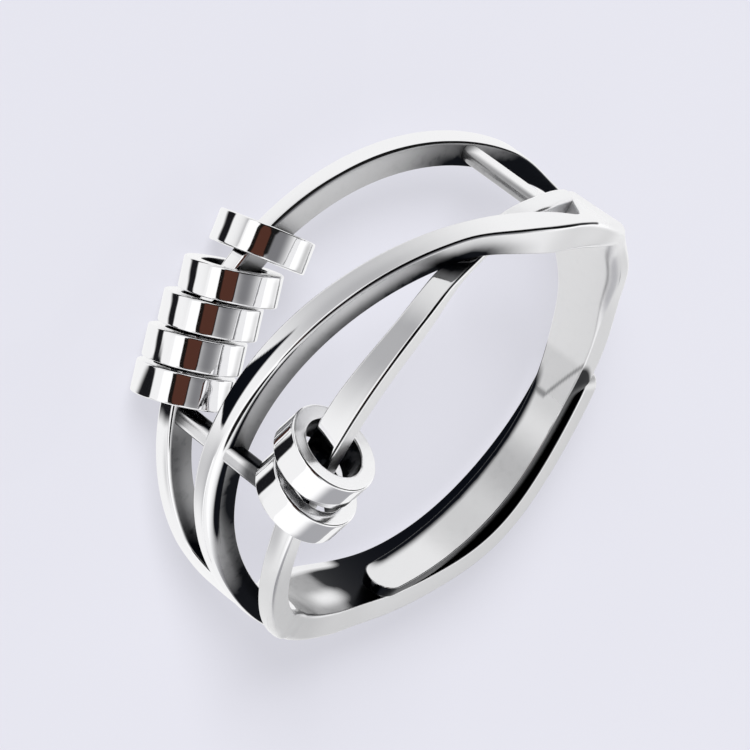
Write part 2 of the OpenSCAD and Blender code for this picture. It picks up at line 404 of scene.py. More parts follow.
def silver_material():
    """Silver under its patina and its painted shade and reflections. The dark share is the dark value, deepened,
    plus a noise that is strongest where the dark value is. It mixes the colours and the roughnesses."""
    material, nodes, links, shader = new_material("silver")
    place = add(nodes, "ShaderNodeTexCoord").outputs["Object"]
    # The dark value carries patina and painted shade and reflections.
    patina_and_painted_shade = add(nodes, "ShaderNodeAttribute", attribute_name="patina_and_painted_shade").outputs["Fac"]
    matt = add(nodes, "ShaderNodeAttribute", attribute_name="matt").outputs["Fac"]
    grain = add(nodes, "ShaderNodeTexNoise", Scale=1 / (GRAIN_MM * MM), Detail=3.0)
    waves = add(nodes, "ShaderNodeTexNoise", Scale=1 / (WAVE_MM * MM), Detail=1.0)
    for texture in (grain, waves):
        links.new(place, texture.inputs["Vector"])

    deep = maths(nodes, links, "MULTIPLY", patina_and_painted_shade, DARK_DEPTH)
    noise = grain.outputs["Fac"]
    ragged = maths(nodes, links, "MULTIPLY_ADD", noise, RAGGED_BY, -RAGGED_BY / 2)
    at_rim = maths(nodes, links, "MULTIPLY", deep, ragged, clamp=True)
    dark = maths(nodes, links, "ADD", deep, at_rim, clamp=True)

    colour = add(nodes, "ShaderNodeMix", data_type="RGBA")
    colour.inputs["A"].default_value = SILVER
    colour.inputs["B"].default_value = PATINA_AND_PAINTED_SHADE
    links.new(dark, colour.inputs["Factor"])
    links.new(colour.outputs["Result"], shader.inputs["Base Color"])

    rough = add(nodes, "ShaderNodeMapRange")
    rough.inputs["To Min"].default_value = POLISHED_ROUGHNESS
    rough.inputs["To Max"].default_value = DARK_ROUGHNESS
    links.new(dark, rough.inputs["Value"])
    by_hand = maths(nodes, links, "MULTIPLY", matt, MATT_ROUGHNESS)
    rougher = maths(nodes, links, "MAXIMUM", rough.outputs["Result"], by_hand)
    links.new(rougher, shader.inputs["Roughness"])

    relief = add(nodes, "ShaderNodeBump", Strength=1.0, Distance=WAVE_DEPTH_MM * MM)
    links.new(waves.outputs["Fac"], relief.inputs["Height"])
    links.new(relief.outputs["Normal"], shader.inputs["Normal"])
    shader.inputs["Metallic"].default_value = 1.0
    return material


silver = silver_material()
print("material made:", silver.name, "with", len(silver.node_tree.nodes), "nodes")

# %% [markdown]
# ## The strip, put together
#
# The strip takes its walls and its four edge heights as arrays, one value per station, so a
# wire and a wide band are the same thing with other numbers. The section's corners are arcs
# whose radius in millimetres is given for each station, however wide the strip is. An inset
# pulls the whole section in, which rounds a tip off.

# %% Strip
EDGE_R = 0.08
NEAR_EDGE_R = 0.16
CROWN = 0.004
ARC_LIMIT = 0.46


def strip(name, angle, walls, far, near, finish, inset=0.0, edges=None, crown=CROWN, tuck=0.0):
    """A closed strip. walls is (inner, outer) radius, far and near are each (at the inner
    wall, at the outer wall) heights, edges are the radii of the four corners (far outer, near
    outer, near inner, far inner), and tuck is how far the outer wall leans in at its far edge.
    A point of the section goes to its corner, set in by the corner's radius, and from there that radius and the
    bulge outwards. Its angle and radius then give x as the radius times the sine, and y as the radius times the
    cosine. finish gives the dark value, patina and painted shade, and the matt share from the angle, the way that
    the surface looks, and the shares from the inner to the outer wall and from far to near."""
    edges = edges or (EDGE_R, NEAR_EDGE_R, EDGE_R, EDGE_R)
    r_in, r_out, far_in, far_out, near_in, near_out, pull, crown, tuck = [
        np.broadcast_to(np.asarray(v, float), angle.shape)[:, None]
        for v in (*walls, *far, *near, inset, crown, tuck)]
    p, q, out, along, bulge, look, shares = section()
    depth = r_out - r_in
    width = ((near_in - far_in) + (near_out - far_out)) / 2
    radii = np.stack([np.broadcast_to(np.asarray(e, float), angle.shape) for e in edges], 1)
    radii = np.minimum(radii @ shares.T, ARC_LIMIT * np.minimum(depth, width))
    u = pull + (1 - p) * radii + p * (depth - 2 * pull - radii)
    v = pull + (1 - q) * radii + q * (width - 2 * pull - radii)
    u = u + out * (radii + crown * (bulge - 1))
    v = v + along * (radii + crown * (bulge - 1))
    share = u / depth
    radius = r_in + u - tuck * (1 - v / width) * share
    low = far_in + (far_out - far_in) * share
    high = near_in + (near_out - near_in) * share
    z = low + (high - low) * v / width
    a = np.radians(angle)[:, None]
    points = np.stack([radius * np.sin(a), radius * np.cos(a), z], -1)
    rows, columns = points.shape[:2]
    points = points.reshape(-1, 3)
    dull = finish(angle[:, None] + 0 * u, look[None, :] + 0 * u, share, v / width)
    piece = mesh_piece(name, points, capped_faces(points, rows, columns), dull, "ring_body")
    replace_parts(piece, "ring_body")
    print(f"{name}: {rows} stations of {columns} points")


def stations(start, stop, step=0.75):
    """Angles from start to stop, evenly spaced."""
    return np.linspace(start, stop, int(abs(stop - start) / step) + 1)


print("stations on a quarter of the ring:", len(stations(0, 90)))

# %% [markdown]
# ## How the dark places are painted
#
# A blackened face isn't dark all over. The patina stays deepest in the corners and is worn off
# where fingers and cloths reach, so its darkness follows one curve along the outer side of a
# face and another along its inner side. Painting by angle and by the way the surface looks
# needs no texture image, and it stays with the metal in every view.

# %% Paint
OUT, NEAR, IN, FAR = 0, 90, 180, 270
FLAT_REACH = 35
HAND_FINISH = 0.8
# How dark the painted reflection lines along the wires are.
PAINTED_LINE_DARK = 0.95


def looks(way, look, reach=60):
    """1 where the surface looks a way, in degrees, or up to a quarter of the reach off it, and
    from there smoothly down to 0 at the whole reach."""
    off = np.abs((look - way + 180) % 360 - 180)
    return 1 - ease(off, reach / 4, reach)


def paint(outer, inner):
    """A tarnish over a near face: one spline round the finger along its outer side, another
    along its inner side, and a smooth change between them."""
    outer, inner = spline(outer), spline(inner)

    def patina_and_painted_shade(angle, share):
        """The inner curve, plus the eased share of the way to the outer curve."""
        return np.clip(inner(angle) + ease(share, 0, 1) * (outer(angle) - inner(angle)), 0, 1)

    return patina_and_painted_shade


print("a face that looks 20 degrees off has a share of", looks(OUT, 20.0).round(3))

# %% [markdown]
# ## The far wire
#
# It runs over the finger on the side that lies on the table. Its near face is blackened: deeply
# where it dives into the narrow corners at both ends and beside the struts, and lightly in
# the middle, where wear keeps it grey. Both ends sink a little into the metal that they are
# soldered to, so that no two surfaces lie in one place.

# %% Far wire
SINK = 0.025
JOIN_SINK = 0.26
WEB_OVERLAP = 0.2
WEB_FROM_TO = (66, 77)

far_angle = stations(-100, 106)
far_paint = paint(
    outer=[(-100, 1), (-78, 1), (-66, 0.85), (-52, 0.7), (-42, 0.75), (-30, 0.3), (-5, 0.35),
           (10, 0.3), (30, 0.25), (45, 0.4), (54, 0.6), (62, 0.55), (70, 0.7), (78, 0.95),
           (106, 1)],
    inner=[(-100, 1), (-78, 1), (-66, 0.75), (-52, 0.55), (-42, 0.7), (-30, 0.5), (-5, 0.55),
           (10, 0.4), (30, 0.35), (45, 0.55), (54, 0.85), (62, 0.95), (70, 1), (78, 1), (106, 1)],
)


def far_near_height(angle, radius):
    """The near face follows its plane, and on the left it climbs to close the gap below the
    middle wire."""
    web = ease(-angle, *WEB_FROM_TO)
    wire = plane_height(FAR_WIRE[NEAR_FACE], angle, radius)
    closed = plane_height(MID_WIRE[FAR_FACE], angle, radius) + WEB_OVERLAP
    return wire + web * (closed - wire)


def far_finish(angle, look, share, high):
    """Only the near face is dark, and only there is it finished by hand."""
    return looks(NEAR, look) * far_paint(angle, share), looks(NEAR, look, FLAT_REACH)


far_r = outer_radius(far_angle)
far_sink = SINK * ease(-far_angle, 68, 78) + JOIN_SINK * ease(far_angle, 72, 92)
far_wall = (far_r - DEPTH + far_sink, far_r - far_sink)
strip(
    "far_wire",
    far_angle,
    far_wall,
    [plane_height(FAR_WIRE[FAR_FACE], far_angle, r) for r in far_wall],
    [far_near_height(far_angle, r) for r in far_wall],
    far_finish,
    crown=CROWN + 0.02 * ease(-far_angle, 35, 55),
)

# %% [markdown]
# ## The middle wire, the right band and the inner end
#
# The middle wire rises from the left, crosses over the near wire and widens into the band on the
# right. The band goes on round the back and becomes the inner end of the shank. It is one
# strip whose edge heights change along the way: planes along the wire, and a spline beyond.
#
# A shank's end has rounded corners, and its rim is rounded too. Both come from quarter circles:
# a corner takes some width from both sides, and the rim pulls the whole section in. Where the
# inner end begins, the stations stand closer, because the seam and the bevel there are narrow.

# %% Rounded tips
TIP_CORNER = 0.6
TIP_ROUND = 0.12
TIP_BLUNT = 0.995
RIM_STEPS = 9
CORNER_STEPS = 14
FINE_STEP = 0.2


def tip_stations(before, tip, radius, finer=None):
    """Angles that end in a rounded tip, and how far the section pulls in at each: a quarter
    circle of TIP_ROUND seen from the side. They can stand closer between two angles."""
    way = 1 if tip > before else -1
    step = math.degrees(1 / radius)
    t = np.radians(np.linspace(0, 90, RIM_STEPS))
    body = stations(before, tip - way * TIP_CORNER * step)[:-1]
    if finer:
        body = np.union1d(body, stations(*finer, FINE_STEP))
    corner = np.linspace(
        tip - way * TIP_CORNER * step, tip - way * TIP_ROUND * step, CORNER_STEPS)[:-1]
    end = tip - way * step * TIP_ROUND * (1 - np.sin(t))
    pull = np.concatenate([np.zeros(len(body) + len(corner)), TIP_ROUND * (1 - np.cos(t))])
    return np.concatenate([body, corner, end]), pull


def corner_cut(angle, tip, radius):
    """How much the width loses on each side near a tip: the corner's radius, less the root of
    its square less the square of the way into the corner. A blunt bit is left at the tip."""
    way_in = TIP_CORNER - np.radians(np.abs(tip - angle)) * radius
    way_in = np.clip(way_in, 0, TIP_CORNER * TIP_BLUNT)
    return TIP_CORNER - np.sqrt(TIP_CORNER**2 - way_in**2)


INNER_TIP, INNER_TIP_R = 230, 9.0
FINE_FROM_TO = (142, 166)
mid_angle, mid_pull = tip_stations(-98, INNER_TIP, INNER_TIP_R, finer=FINE_FROM_TO)
print("stations of the middle wire and inner end:", len(mid_angle))

# %% [markdown]
# The walls come first. Round the back, the inner end has to slide inside the outer one, whose
# circles are set a little back and to the right. So the inner end's outer wall follows such a
# circle too, a small gap further in.

# %% Walls of the middle wire and the inner end
END_BACK = 0.2
END_RIGHT = 0.2
END_WALL = 0.95
END_GAP = 0.15
SLIDE_IN = (142, 152)
BAND_WIDE, BAND_WIDE_AT = 0.22, (60, 26)


def end_radius(angle, reach, right_by):
    """Distance from the finger's middle to a circle of radius reach whose own middle lies
    END_BACK behind it and right_by to the right. It is that shift along the way, plus the root
    of the reach squared less the shift across the way squared."""
    a = np.radians(angle)
    along = right_by * np.sin(a) - END_BACK * np.cos(a)
    off = right_by * np.cos(a) + END_BACK * np.sin(a)
    return along + np.sqrt(reach**2 - off**2)


mid_r = outer_radius(mid_angle)
slide_r = end_radius(mid_angle, OUTER_R - END_WALL - END_GAP, END_RIGHT)
mid_outer = mid_r + ease(mid_angle, *SLIDE_IN) * (np.minimum(slide_r, mid_r) - mid_r)
mid_outer = mid_outer - SINK * ease(-mid_angle, 86, 92)
mid_inner = inner_radius(mid_angle) - BAND_WIDE * bump(mid_angle, *BAND_WIDE_AT)
mid_wall = (mid_inner, mid_outer)
print(f"the inner end's wall is {(mid_outer - mid_inner)[-1]:.2f} mm thick at its tip")

# %% [markdown]
# Then come the edges. The band's two edges, and how soft the long near edge is, are splines,
# because no plane or arc fits them. At the inner end the near edge is bevelled on the
# outside, so that it slips into the outer end.

# %% Edges of the middle wire and the inner end
BAND_NEAR = spline([
    (60, 3.7), (66, 3.8), (72, 3.81), (78, 3.62), (88, 2.95), (101, 2.12), (112, 1.9), (124, 1.48),
    (139, 1.27), (159, 1.12), (180, 1.26), (197, 1.33), (215, 1.27), (230, 1.2),
])
BAND_FAR = spline([
    (100, -1.45), (108, -1.34), (116, -1.23), (126, -0.97), (138, -0.84), (155, -0.6),
    (168, -0.47), (190, -0.45), (230, -0.5),
])
MID_EDGE = spline([
    (-98, 0.15), (-75, 0.18), (-62, 0.36), (-50, 0.4), (-38, 0.36), (-26, 0.26), (-14, 0.17),
    (10, 0.16), (40, 0.16), (54, 0.18), (66, 0.2), (74, 0.36), (82, 0.45), (92, 0.4), (102, 0.3),
    (120, 0.2), (150, 0.1), (230, 0.1),
])
INTO_BAND = (52, 66)
ONTO_NEAR_WIRE = (60, 76)
ONTO_FAR_WIRE = (92, 104)
WIRE_SWELL = 0.3
END_BEVEL, BEVEL_FROM_TO = 0.3, (150, 157)


def mid_near_height(angle, radius):
    """The near edge: the wire's plane, a little fuller before the band, then the band's
    spline."""
    wire = plane_height(MID_WIRE[NEAR_FACE], angle, radius)
    wire = wire + WIRE_SWELL * bump(angle, 48, 16)
    cut = corner_cut(angle, INNER_TIP, INNER_TIP_R)
    return wire + ease(angle, *INTO_BAND) * (BAND_NEAR(angle) - wire) - cut


def mid_far_height(angle, radius):
    """The far edge: the wire's plane, down to the near wire's far face where the two have
    merged, and down again to close the gap above the far wire."""
    wire = plane_height(MID_WIRE[FAR_FACE], angle, radius)
    merged = plane_height(NEAR_WIRE[FAR_FACE], angle, radius)
    edge = wire + ease(angle, *ONTO_NEAR_WIRE) * (merged - wire)
    cut = corner_cut(angle, INNER_TIP, INNER_TIP_R)
    return edge + ease(angle, *ONTO_FAR_WIRE) * (BAND_FAR(angle) - edge) + cut


mid_far = [mid_far_height(mid_angle, r) for r in mid_wall]
mid_near = [mid_near_height(mid_angle, r) for r in mid_wall]
mid_near[1] = mid_near[1] - END_BEVEL * ease(mid_angle, *BEVEL_FROM_TO)
band_width = (mid_near[1] - mid_far[1])[(mid_angle > 80) & (mid_angle < 130)]
print(f"the band is {band_width.min():.2f} to {band_width.max():.2f} mm wide")

# %% [markdown]
# Along the wire, a fine dark line follows the outer face just under its near edge, and on the left it starts as a
# dark crescent. Part of it is a reflection on the real ring. Here line and crescent are painted reflections, dark
# like patina, because a painted line stays with the edge from every side, and a faint painted shade lies on the
# outer face before the crossing.

# %% Lines along the middle wire
CRESCENT = spline([
    (-31, 0.5), (-28, 0.3), (-25, 0.08), (-21, -0.1), (-17, 0), (-12, 0.25), (-7, 0.43),
    (-2, 0.52),
])
CRESCENT_RIM, CRESCENT_TOP, CRESCENT_FROM_TO = 0.04, (0.5, 0.56), (2, 6, 28, 31)
LEFT_LINE_LOOK, LEFT_LINE_FROM_TO = (72, 17), (4, 10, 52, 62)
RIGHT_LINE_LOOK, RIGHT_LINE_FROM_TO = (34, 24), (-8, 0, 65.5, 66.5)
PAINTED_WIRE_SHADE, PAINTED_WIRE_SHADE_AT = 0.13, (25, 22)


def mid_painted_lines(angle, look, high):
    """The painted reflection line under the near edge, further down on the ring's right than on its left, the
    painted crescent between its own curve and the middle of the face, and a faint painted shade before the
    crossing."""
    # Painted reflection lines along the near edge.
    left_line = bump(look, *LEFT_LINE_LOOK) * stretch(-angle, *LEFT_LINE_FROM_TO)
    right_line = bump(look, *RIGHT_LINE_LOOK) * stretch(angle, *RIGHT_LINE_FROM_TO)
    start = CRESCENT(angle)
    crescent = stretch(high, start - CRESCENT_RIM, start + CRESCENT_RIM, *CRESCENT_TOP)
    crescent = crescent * looks(OUT, look, 30) * stretch(-angle, *CRESCENT_FROM_TO)
    # A faint painted shade on the outer face before the crossing.
    shade = PAINTED_WIRE_SHADE * looks(OUT, look) * bump(angle, *PAINTED_WIRE_SHADE_AT)
    return PAINTED_LINE_DARK * (left_line + right_line) + crescent + shade


print("the crescent starts at these shares of the width:", CRESCENT([-28, -21, -7]).round(2))

# %% [markdown]
# The inner end carries most of the picture's light and dark. Where it has slid into the outer end, its near face
# and its outside lie in a dark slit, painted as patina and as the slit's shade. Its inside is bright silver with
# soft grey fields, and a cross seam shows where it leaves the band.

# %% Inside of the inner end
BAND_GREY, BAND_GREY_FROM_TO = 0.17, (80, 110)
END_PALER, END_PALER_FROM_TO = 0.1, (158, 168)
GREY_FIELDS = [(0.25, 180, 16), (0.12, 198, 16)]
GREY_FADES = (206, 214)
SEAM_AT, SEAM_LEAN, SEAM_LEANS_ABOVE = 158, 24, 0.42
SEAM_DARK, SEAM_REACH = 0.35, 1.8
RIM_DARK, RIM_HIGH, RIM_FROM_TO = 0.9, (0.02, 0.3), (146, 160, 222, 229)


def mid_inside(angle, look, high):
    """Soft grey fields on the inside that turn white toward the tip, the seam, and a dark far
    rim."""
    grey = BAND_GREY * ease(angle, *BAND_GREY_FROM_TO)
    grey = grey - END_PALER * ease(angle, *END_PALER_FROM_TO)
    for dark, middle, reach in GREY_FIELDS:
        grey = grey + dark * bump(angle, middle, reach)
    seam_at = SEAM_AT - SEAM_LEAN * np.maximum(high - SEAM_LEANS_ABOVE, 0)
    seam = SEAM_DARK * bump(angle, seam_at, SEAM_REACH)
    field = np.clip(grey * (1 - ease(angle, *GREY_FADES)) + seam, 0, 1)
    far_rim = (1 - ease(high, *RIM_HIGH)) * stretch(angle, *RIM_FROM_TO)
    return np.maximum(looks(IN, look) * field, RIM_DARK * far_rim * looks(IN, look, 110))


print(f"the seam crosses the inside at {SEAM_AT} degrees and leans toward the band")

# %% Finish of the middle wire and the inner end
mid_paint = paint(
    outer=[(-98, 1), (-82, 1), (-70, 0.6), (-58, 0.5), (-50, 0.65), (-42, 0.6), (-25, 0.3),
           (-8, 0.2), (10, 0.1), (25, 0.15), (36, 0.1), (44, 0), (60, 0), (150, 0), (230, 0)],
    inner=[(-98, 1), (-82, 1), (-70, 0.85), (-58, 0.8), (-50, 0.95), (-44, 0.95), (-36, 0.8),
           (-20, 0.65), (-8, 0.7), (10, 0.8), (25, 0.95), (37, 0.9), (44, 0.3), (50, 0), (230, 0)],
)
SLIT_LEAN, SLIT_FROM_TO = 6, (143.5, 147)
BAND_MATT_FROM_TO = (62, 74, 156, 160)
FAR_MATT_AT = (70, 20)


def mid_finish(angle, look, share, high):
    """The dark value is the sum of the near face's painted patina, the slit's patina and painted shade, the inside
    and the painted reflection lines. The near face, the band and a patch of its far face are finished by hand."""
    # The slit is painted dark, as patina and as the slit's shade.
    inner_end = ease(angle - SLIT_LEAN * share**2, *SLIT_FROM_TO)
    near_face = looks(NEAR, look) * np.maximum(mid_paint(angle, share), inner_end)
    slit = (looks(OUT, look) + looks(FAR, look, 110)) * inner_end
    dark = near_face + slit + mid_inside(angle, look, high) + mid_painted_lines(angle, look, high)
    band = HAND_FINISH * stretch(angle, *BAND_MATT_FROM_TO)
    matt = np.maximum(looks(NEAR, look, FLAT_REACH) * (1 - inner_end), band)
    return dark, np.maximum(matt, looks(FAR, look) * bump(angle, *FAR_MATT_AT))


print(f"the middle wire's near face at the front has a tarnish of {float(mid_paint(0, 0.5)):.2f}")

# %% Middle wire, band and inner end
strip(
    "middle_wire_and_inner_end",
    mid_angle,
    mid_wall,
    mid_far,
    mid_near,
    mid_finish,
    inset=mid_pull,
    edges=(
        EDGE_R + 0.2 * bump(mid_angle, 72, 14),
        MID_EDGE(mid_angle),
        EDGE_R + 0.34 * stretch(mid_angle, 50, 72, 112, 140),
        EDGE_R,
    ),
    crown=CROWN + 0.02 * ease(-mid_angle, 45, 60),
    tuck=0.25 * bump(mid_angle, 90, 18),
)

# %% [markdown]
# ## The near wire and the outer end
#
# The near wire starts under the middle wire on the right, comes forward over the finger and
# runs down the left side. There it widens into the outer end of the shank, which goes round
# the back and ends in a tip over the inner end.
#
# To pass under the middle wire, the near wire is filed flat there, and it dives as well: it
# bends toward the finger and comes up again on the far side. The dive goes straight away from
# the camera, inward and down together, so the wire's outline in the picture stays in place.

# %% Walls of the near wire and the outer end
OUTER_TIP, OUTER_TIP_R = 151 - 360, 9.7
DIP_AT, DIP_DEPTH, DIP_SOFT = 40, 0.43, 0.04
DIVE, DIVE_FROM_TO = 0.75, (4, 37, 45, 60)
UNDER_SHARE = 0.58
INTO_END = (84, 100)
END_INSIDE = 0.01
CORNER_FULL = 0.05
CORNER_WIDE = 0.15
FRONT_WIDE = 0.2

near_angle, near_pull = tip_stations(100, OUTER_TIP, OUTER_TIP_R)
print("stations of the near wire and outer end:", len(near_angle))


def dive(angle):
    """How far the near wire bends inward to pass under the middle one."""
    return DIVE * stretch(angle, *DIVE_FROM_TO)


def dipped(angle):
    """The outer wall, cut flat under the middle wire. A flat's distance grows as one over the
    cosine away from its middle, and a soft minimum of the two rounds the cut's ends."""
    flat = (OUTER_R - DIP_DEPTH) / np.cos(np.radians(np.clip(angle - DIP_AT, -60, 60)))
    wall = outer_radius(angle)
    return wall - DIP_SOFT * np.logaddexp(0, (wall - flat) / DIP_SOFT)


def near_outer_wall(angle):
    """The wire's dipped wall and then the outer end's circle, less the dive and the sink into
    the band, and a little fuller where the wire turns into the end."""
    wall = dipped(angle)
    end = end_radius(angle, OUTER_R - END_INSIDE, 0)
    wall = wall + ease(-angle, *INTO_END) * (end - wall)
    sink = SINK * ease(angle, 54, 60) + JOIN_SINK * ease(angle, 70, 84)
    return wall - dive(angle) - sink + CORNER_FULL * bump(angle, -103, 14)


def near_inner_wall(angle):
    """The wire's inner wall and then the outer end's, deeper over the front and where the wire
    turns into the end, and following a share of the dive."""
    wire = inner_radius(angle)
    end = end_radius(angle, OUTER_R - END_WALL, END_RIGHT)
    wall = wire + ease(-angle, *INTO_END) * (end - wire)
    wall = wall + SINK * ease(angle, 50, 58) - CORNER_WIDE * bump(angle, -90, 23)
    return wall - FRONT_WIDE * stretch(angle, -50, -25, 12, 30) - UNDER_SHARE * dive(angle)


near_wall = (near_inner_wall(near_angle), near_outer_wall(near_angle))
print(f"the near wire is {(near_wall[1] - near_wall[0]).min():.2f} mm deep at its thinnest")

# %% [markdown]
# The edges follow the wire's two planes, less the dive, and then two splines along the outer
# end, which is widest just after the turn and narrows toward its tip.

# %% Edges of the near wire and the outer end
END_NEAR = spline([
    (-98, 1.18), (-104, 0.96), (-111, 0.78), (-118, 0.68), (-125, 0.6), (-132, 0.67), (-140, 0.82),
    (-149, 1.0), (-158, 1.2), (-168, 1.29), (-182, 1.15), (-193, 1.02), (-209, 0.97),
])
END_FAR = spline([
    (-104, -1.95), (-112, -2.2), (-120, -2.36), (-129, -2.14), (-138, -1.8), (-148, -1.56),
    (-160, -1.41), (-175, -1.335), (-188, -1.3), (-209, -1.28),
])
NEAR_TURN = (78, 104)
FAR_TURN = (91, 106)
FAR_SWELL = 0.25


def dive_down(angle):
    """The dive's drop: the inward bend times the tangent of the view's rise, and more to the
    sides, as one over the cosine of the angle."""
    return math.tan(VIEW_RISE) * dive(angle) / np.cos(np.radians(np.clip(angle, -60, 60)))


def near_near_height(angle, radius):
    """The near edge: the wire's plane, less the dive, then the outer end's spline."""
    wire = plane_height(NEAR_WIRE[NEAR_FACE], angle, radius) - dive_down(angle)
    cut = corner_cut(angle, OUTER_TIP, OUTER_TIP_R)
    return wire + ease(-angle, *NEAR_TURN) * (END_NEAR(angle) - wire) - cut


def near_far_height(angle, radius):
    """The far edge: the wire's plane, less the dive and fuller at the front, then the outer
    end's spline."""
    wire = plane_height(NEAR_WIRE[FAR_FACE], angle, radius) - dive_down(angle)
    wire = wire - FAR_SWELL * bump(angle, -17, 32)
    cut = corner_cut(angle, OUTER_TIP, OUTER_TIP_R)
    return wire + ease(-angle, *FAR_TURN) * (END_FAR(angle) - wire) + cut


near_far = [near_far_height(near_angle, r) for r in near_wall]
near_near = [near_near_height(near_angle, r) for r in near_wall]
end_width = (near_near[1] - near_far[1])[near_angle < -120]
print(f"the outer end is up to {end_width.max():.2f} mm wide")

# %% [markdown]
# The outer end is blackened inside, where the inner end slides and no wheel reaches. Its far rim is worn bright,
# and so is one place just after the turn. The wire's outside is bright, with the same painted reflection line as
# the middle wire's, a painted shade where the middle wire shades it, and a painted grey shade down the left side.

# %% Finish of the near wire and the outer end
WORN_AT, WORN_HIGH = (-118, 11), (0.7, 0.26)
WORN_RIM_HIGH, WORN_RIM_STOPS = (0.1, 0.22), (128, 134)
WORN_BRIGHT = 0.95
END_DARK, END_DARK_FROM_TO = 0.55, (84, 96)
END_DARKER, END_DARKER_FROM_TO = 0.45, (118, 126)
SHADES = [(0.05, -8, 4), (0.09, 4, 20), (0.5, 24, 36)]
SHADES_STOP = (44, 50)
NEAR_LINE_LOOK, NEAR_LINE_FROM_TO = (38, 26), (-40, -28, 40, 46)
SIDE_GREY, SIDE_GREY_FROM_TO = 0.2, (40, 60)
SIDE_PALER, SIDE_PALER_FROM_TO = 0.7, (100, 118)
LEFT_MATT_FROM_TO = (40, 60, 150, 160)
PAST_CROSSING = (44, 48)


def near_patina_and_painted_shade(angle, look, high):
    """The outer end is dark inside with patina, but for its worn far edge and one worn place. The wire gets a
    painted shade toward the place where it dives, a painted reflection line follows its near edge, and a painted
    grey shade lies down the left side."""
    worn = bump(angle, *WORN_AT) * bump(high, *WORN_HIGH)
    rim = (1 - ease(high, *WORN_RIM_HIGH)) * (1 - ease(-angle, *WORN_RIM_STOPS))
    deeper = END_DARK + END_DARKER * ease(-angle, *END_DARKER_FROM_TO)
    left = ease(-angle, *END_DARK_FROM_TO) * deeper
    inside = left * np.clip(1 - WORN_BRIGHT * np.maximum(worn, rim), 0, 1)
    # Painted shade on the outer face where the middle wire shades the wire.
    shade = sum(dark * ease(angle, start, full) for dark, start, full in SHADES)
    under = looks(OUT, look) * shade * (1 - ease(angle, *SHADES_STOP))
    # A painted reflection line along the near edge.
    line = PAINTED_LINE_DARK * bump(look, *NEAR_LINE_LOOK) * stretch(angle, *NEAR_LINE_FROM_TO)
    # A painted grey shade down the left side.
    paler = 1 - SIDE_PALER * ease(-angle, *SIDE_PALER_FROM_TO)
    grey = SIDE_GREY * ease(-angle, *SIDE_GREY_FROM_TO) * paler * looks(45, look, 130)
    return looks(IN, look) * inside + under + line + grey


def near_finish(angle, look, share, high):
    """The dark value, patina and painted shade, and the hand finish on the near face, down the left side and on
    the piece beyond the crossing. The inside is half as matt."""
    left_side = stretch(-angle, *LEFT_MATT_FROM_TO) * looks(NEAR, look, 85)
    by_hand = HAND_FINISH * (left_side + ease(angle, *PAST_CROSSING))
    matt = np.maximum(looks(NEAR, look, FLAT_REACH), by_hand) + 0.5 * looks(IN, look)
    return near_patina_and_painted_shade(angle, look, high), matt


print(f"inside, the outer end's tarnish goes from {END_DARK} to {END_DARK + END_DARKER}")

# %% Near wire and outer end
strip(
    "near_wire_and_outer_end",
    near_angle,
    near_wall,
    near_far,
    near_near,
    near_finish,
    inset=near_pull,
    edges=(
        EDGE_R,
        NEAR_EDGE_R + 0.26 * bump(near_angle, -88, 32),
        EDGE_R + 0.12 * bump(near_angle, -95, 25),
        EDGE_R,
    ),
)

# %% [markdown]
# ## The struts
#
# Two short bars cross behind the wires and are soldered to them. A strut is a rounded bar from
# the far wire to the near one, blackened at its feet and down its sides, where no wheel
# reaches. It is the same section as the strips', carried straight from foot to foot.

# %% Struts
STRUTS = {"left": (-35.2, 0.8, 0.75, 1.0), "right": (61, 0.7, 0.65, 0.5)}
STRUT_SET_BACK = 0.12
STRUT_EDGE = 0.27
STRUT_ROWS = 60
STRUT_MATT = 0.4
FOOT_DARK = 0.75
FOOT_FROM_TO = (0.3, 1.0)
HEAD_FROM_TO = (0.2, 0.9)
SIDE_REACH = 75


def middle_height(wire, angle, radius):
    """Halfway between a wire's two faces."""
    far_face, near_face = (plane_height(face, angle, radius) for face in wire)
    return (far_face + near_face) / 2


def strut(name, angle, width, depth, side_dark):
    """A bar along the finger. A point of the section lies u from the finger's middle and v to
    the side of the strut's angle, so x is u times the sine plus v times the cosine, and y is u
    times the cosine less v times the sine. The sides are as dark as side_dark says."""
    outer = float(outer_radius(angle)) - STRUT_SET_BACK
    middle = outer - depth / 2
    low = float(middle_height(FAR_WIRE, angle, middle))
    high = float(middle_height(NEAR_WIRE, angle, middle))
    height = np.linspace(low, high, STRUT_ROWS)[:, None]
    p, q, out, along, _, look, _ = section(9)
    u = STRUT_EDGE + p * (depth - 2 * STRUT_EDGE) + out * STRUT_EDGE + outer - depth
    v = STRUT_EDGE + q * (width - 2 * STRUT_EDGE) + along * STRUT_EDGE - width / 2
    a = math.radians(angle)
    x = u * math.sin(a) + v * math.cos(a) + 0 * height
    y = u * math.cos(a) - v * math.sin(a) + 0 * height
    points = np.stack([x, y, height + 0 * x], -1).reshape(-1, 3)
    on_left = angle < 0
    foot = 1 - ease(height - low, *FOOT_FROM_TO) + on_left * ease(height, *HEAD_FROM_TO)
    sides = side_dark * (1 - looks(OUT, look, SIDE_REACH))
    dark = np.maximum(FOOT_DARK * foot + 0 * x, sides)
    faces = capped_faces(points, STRUT_ROWS, len(p))
    piece = mesh_piece(name, points, faces, (dark, STRUT_MATT + 0 * dark), "ring_body")
    print(f"{name}: {high - low:.2f} mm from foot to foot")
    return piece


for place, sizes in STRUTS.items():
    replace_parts(strut(f"{place}_strut", *sizes), "ring_body")

# %% [markdown]
# ## The spinners
#
# A spinner is a short tube with a flat rim on both sides. It is a profile turned round its own
# axis. Each is made about its joint, so it spins in place when the joint turns. Its outside is
# polished bright, its two rims are a little matt, and its bore is blackened.

